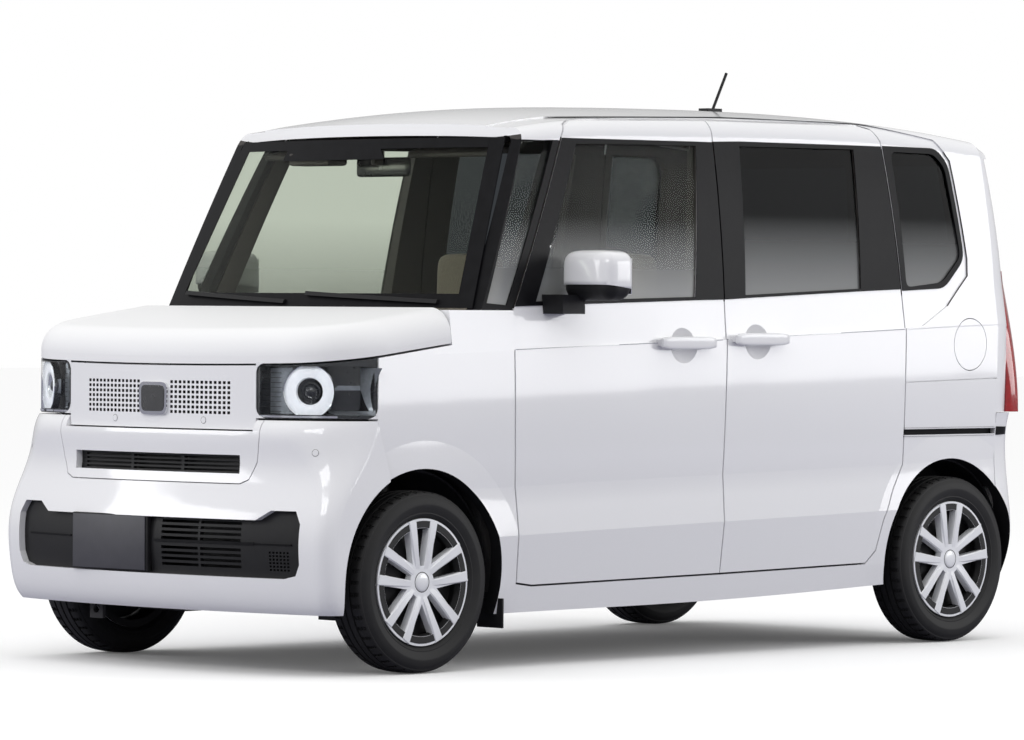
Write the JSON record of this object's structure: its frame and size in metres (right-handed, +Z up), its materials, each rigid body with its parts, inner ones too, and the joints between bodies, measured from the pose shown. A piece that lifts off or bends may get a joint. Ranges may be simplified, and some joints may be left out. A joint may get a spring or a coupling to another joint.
{
  "type": "tall kei wagon car",
  "caption": "Boxy tall-roof small passenger car with hinged front doors, sliding rear doors, lifting tailgate, opening bonnet, steered front wheels and a hollow cabin.",
  "frame": {"origin": "on the ground under the middle of the car, on its centre line", "axes": "+X forward along the car, +Y to the car's left, +Z up"},
  "size_m": [3.3858, 1.892, 1.9197],
  "materials": {
    "alloy": "silver painted",
    "black_plastic": "satin black",
    "cabin_plastic": "grained",
    "chassis_steel": "black coated",
    "clear_glass": "light green tint",
    "dark_glass": "dark privacy tint",
    "engine_alloy": "cast",
    "lamp_housing": "dark gloss",
    "lamp_lens": "clear",
    "red_lens": "red gloss",
    "seat_cloth": "woven",
    "tyre": "matte",
    "underbody": "grey primer",
    "white_paint": "pearl white clear coat"
  },
  "bodies": {
    "body": {"aerial": "black_plastic", "body_side_left": "white_paint", "body_side_right": "white_paint", "bumper_grilles": "black_plastic", "cowl": "black_plastic", "dashboard": "cabin_plastic", "engine_block": "engine_alloy", "exhaust": "chassis_steel", "fender_left": "white_paint", "fender_right": "white_paint", "fixed_side_glass": "dark_glass", "floor_pan": "underbody", "front_bumper": "white_paint", "front_seats": "seat_cloth", "front_subframe": "chassis_steel", "front_wipers": "black_plastic", "fuel_tank": "black_plastic", "grille_panel": "white_paint", "headlamp_housings": "lamp_housing", "headlamp_lenses": "lamp_lens", "pillar_trims": "black_plastic", "radiator": "engine_alloy", "rear_axle": "chassis_steel", "rear_bumper": "white_paint", "rear_seat": "seat_cloth", "roof_panel": "white_paint", "sliding_door_glass": "dark_glass", "sliding_door_handles": "white_paint", "sliding_door_left": "white_paint", "sliding_door_right": "white_paint", "tail_lamps": "red_lens", "wheel_housings": "black_plastic", "windscreen": "clear_glass"},
    "front_door_left": {"front_door_glass_left": "clear_glass", "front_door_handle_left": "white_paint", "front_door_left": "white_paint", "mirror_cap_left": "white_paint", "mirror_left": "black_plastic"},
    "front_door_right": {"front_door_glass_right": "clear_glass", "front_door_handle_right": "white_paint", "front_door_right": "white_paint", "mirror_cap_right": "white_paint", "mirror_right": "black_plastic"},
    "bonnet": {"bonnet": "white_paint"},
    "tailgate": {"tailgate": "white_paint", "tailgate_glass": "dark_glass"},
    "fuel_lid": {"fuel_lid": "white_paint"},
    "knuckle_left": {"knuckle_left": "chassis_steel"},
    "knuckle_right": {"knuckle_right": "chassis_steel"},
    "steering_wheel": {"steering_wheel": "cabin_plastic"},
    "wheel_front_left": {"tyre_front_left": "tyre", "rim_front_left": "alloy"},
    "wheel_front_right": {"tyre_front_right": "tyre", "rim_front_right": "alloy"},
    "wheel_rear_left": {"tyre_rear_left": "tyre", "rim_rear_left": "alloy"},
    "wheel_rear_right": {"tyre_rear_right": "tyre", "rim_rear_right": "alloy"}
  },
  "joints": [
    {"name": "steer_left", "type": "hinge", "parent": "body", "child": "knuckle_left", "pos_m": [1.1825, 0.585, 0.2785], "axis": [0, 0, 1], "range_deg": [-32, 32]},
    {"name": "wheel_front_left_spin", "type": "hinge", "parent": "knuckle_left", "child": "wheel_front_left", "pos_m": [1.1825, 0.6525, 0.2785], "axis": [0, 1, 0], "continuous": true},
    {"name": "wheel_rear_left_spin", "type": "hinge", "parent": "body", "child": "wheel_rear_left", "pos_m": [-1.3375, 0.6525, 0.2785], "axis": [0, 1, 0], "continuous": true},
    {"name": "front_door_left_hinge", "type": "hinge", "parent": "body", "child": "front_door_left", "pos_m": [0.8075, 0.7395, 0.7], "axis": [0, 0, -1], "range_deg": [0, 68]},
    {"name": "steer_right", "type": "hinge", "parent": "body", "child": "knuckle_right", "pos_m": [1.1825, -0.585, 0.2785], "axis": [0, 0, 1], "range_deg": [-32, 32]},
    {"name": "wheel_front_right_spin", "type": "hinge", "parent": "knuckle_right", "child": "wheel_front_right", "pos_m": [1.1825, -0.6525, 0.2785], "axis": [0, 1, 0], "continuous": true},
    {"name": "wheel_rear_right_spin", "type": "hinge", "parent": "body", "child": "wheel_rear_right", "pos_m": [-1.3375, -0.6525, 0.2785], "axis": [0, 1, 0], "continuous": true},
    {"name": "front_door_right_hinge", "type": "hinge", "parent": "body", "child": "front_door_right", "pos_m": [0.8075, -0.7395, 0.7], "axis": [0, 0, 1], "range_deg": [0, 68]},
    {"name": "steering_wheel_turn", "type": "hinge", "parent": "body", "child": "steering_wheel", "pos_m": [0.56, -0.34, 0.95], "axis": [-0.9135, 0, 0.4067], "range_deg": [-480, 480]},
    {"name": "bonnet_hinge", "type": "hinge", "parent": "body", "child": "bonnet", "pos_m": [1.0795, 0, 1.1165], "axis": [0, -1, 0], "range_deg": [0, 55]},
    {"name": "tailgate_hinge", "type": "hinge", "parent": "body", "child": "tailgate", "pos_m": [-1.5615, 0, 1.7265], "axis": [0, 1, 0], "range_deg": [0, 82]},
    {"name": "fuel_lid_hinge", "type": "hinge", "parent": "body", "child": "fuel_lid", "pos_m": [-1.3245, 0.7385, 1.001], "axis": [0, 0, -1], "range_deg": [0, 95]}
  ],
  "couplings": [
    {"joint": "steer_right", "follows": "steer_left", "ratio": 1},
    {"joint": "steering_wheel_turn", "follows": "steer_left", "ratio": 14.5}
  ]
}
